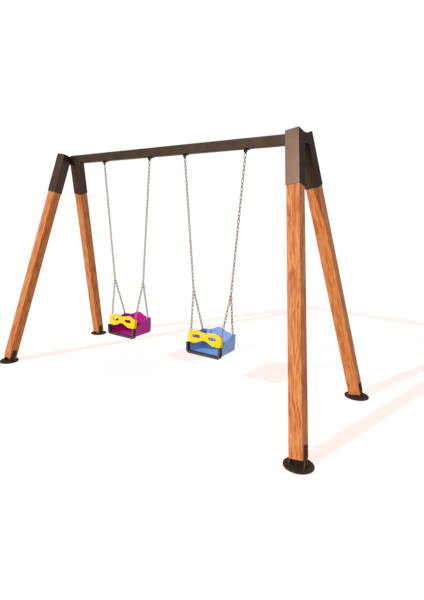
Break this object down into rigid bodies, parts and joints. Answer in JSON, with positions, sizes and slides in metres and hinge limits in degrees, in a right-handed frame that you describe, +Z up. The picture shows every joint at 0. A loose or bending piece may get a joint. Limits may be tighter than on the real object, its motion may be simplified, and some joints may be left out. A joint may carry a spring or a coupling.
{
  "type": "swing set",
  "caption": "Swing frame with splayed square timber legs in steel feet and heads, a box beam, and chain-hung bucket seats with lobed lift-up guards.",
  "frame": {"origin": "on the ground, midway between the four foot discs", "axes": "+X along the beam, +Y towards the backs of the seats, +Z up"},
  "size_m": [3.608, 1.594, 2.2899],
  "materials": {
    "timber": "stained softwood, satin",
    "frame_steel": "brown powder coat, fine texture",
    "fixings": "zinc plated",
    "chain_steel": "galvanised, dull",
    "bush": "self-lubricating polymer",
    "purple_shell": "moulded polyethylene",
    "blue_shell": "moulded polyethylene",
    "bumper": "moulded rubber",
    "guard": "moulded polyethylene"
  },
  "bodies": {
    "frame": {"post_front_left": "timber", "socket_front_left": "frame_steel", "foot_disc_front_left": "frame_steel", "foot_fork_front_left": "frame_steel", "post_rear_left": "timber", "socket_rear_left": "frame_steel", "foot_disc_rear_left": "frame_steel", "foot_fork_rear_left": "frame_steel", "head_block_left": "frame_steel", "beam_spigot_left": "frame_steel", "left_hangers": "frame_steel", "post_front_right": "timber", "socket_front_right": "frame_steel", "foot_disc_front_right": "frame_steel", "foot_fork_front_right": "frame_steel", "post_rear_right": "timber", "socket_rear_right": "frame_steel", "foot_disc_rear_right": "frame_steel", "foot_fork_rear_right": "frame_steel", "head_block_right": "frame_steel", "beam_spigot_right": "frame_steel", "right_hangers": "frame_steel", "socket_screws": "fixings", "foot_bolts": "frame_steel", "foot_nuts": "frame_steel", "top_beam": "frame_steel", "beam_screws": "fixings", "hanger_screws": "fixings", "pivot_pins": "fixings", "pivot_clips": "fixings"},
    "left_chains": {"left_swing_eyes": "frame_steel", "left_pivot_bushes": "bush", "left_main_chain_a": "chain_steel", "left_main_chain_b": "chain_steel"},
    "left_seat": {"left_chain_rings": "chain_steel", "left_front_chains": "chain_steel", "left_rear_chains": "chain_steel", "left_seat_shell": "purple_shell", "left_seat_core_bar": "fixings", "left_seat_bumper": "bumper", "left_bumper_rivets": "fixings", "left_rear_eyes": "fixings", "left_rear_eye_bolts": "fixings"},
    "left_guard_bar": {"left_guard": "guard"},
    "right_chains": {"right_swing_eyes": "frame_steel", "right_pivot_bushes": "bush", "right_main_chain_a": "chain_steel", "right_main_chain_b": "chain_steel"},
    "right_seat": {"right_chain_rings": "chain_steel", "right_front_chains": "chain_steel", "right_rear_chains": "chain_steel", "right_seat_shell": "blue_shell", "right_seat_core_bar": "fixings", "right_seat_bumper": "bumper", "right_bumper_rivets": "fixings", "right_rear_eyes": "fixings", "right_rear_eye_bolts": "fixings"},
    "right_guard_bar": {"right_guard": "guard"}
  },
  "joints": [
    {"name": "left_swing", "type": "hinge", "parent": "frame", "child": "left_chains", "pos_m": [-0.4722, 0, 2.164], "axis": [1, 0, 0], "range_deg": [-60, 60]},
    {"name": "left_seat_pitch", "type": "hinge", "parent": "left_chains", "child": "left_seat", "pos_m": [-0.4722, 0, 0.96618], "axis": [1, 0, 0], "range_deg": [-25, 25]},
    {"name": "left_guard_lift", "type": "slide", "parent": "left_seat", "child": "left_guard_bar", "axis": [0, 0.2286, 0.9735], "range_m": [0, 0.05]},
    {"name": "right_swing", "type": "hinge", "parent": "frame", "child": "right_chains", "pos_m": [0.5552, 0, 2.164], "axis": [1, 0, 0], "range_deg": [-60, 60]},
    {"name": "right_seat_pitch", "type": "hinge", "parent": "right_chains", "child": "right_seat", "pos_m": [0.5552, 0, 0.96618], "axis": [1, 0, 0], "range_deg": [-25, 25]},
    {"name": "right_guard_lift", "type": "slide", "parent": "right_seat", "child": "right_guard_bar", "axis": [0, 0.2286, 0.9735], "range_m": [0, 0.05]}
  ]
}
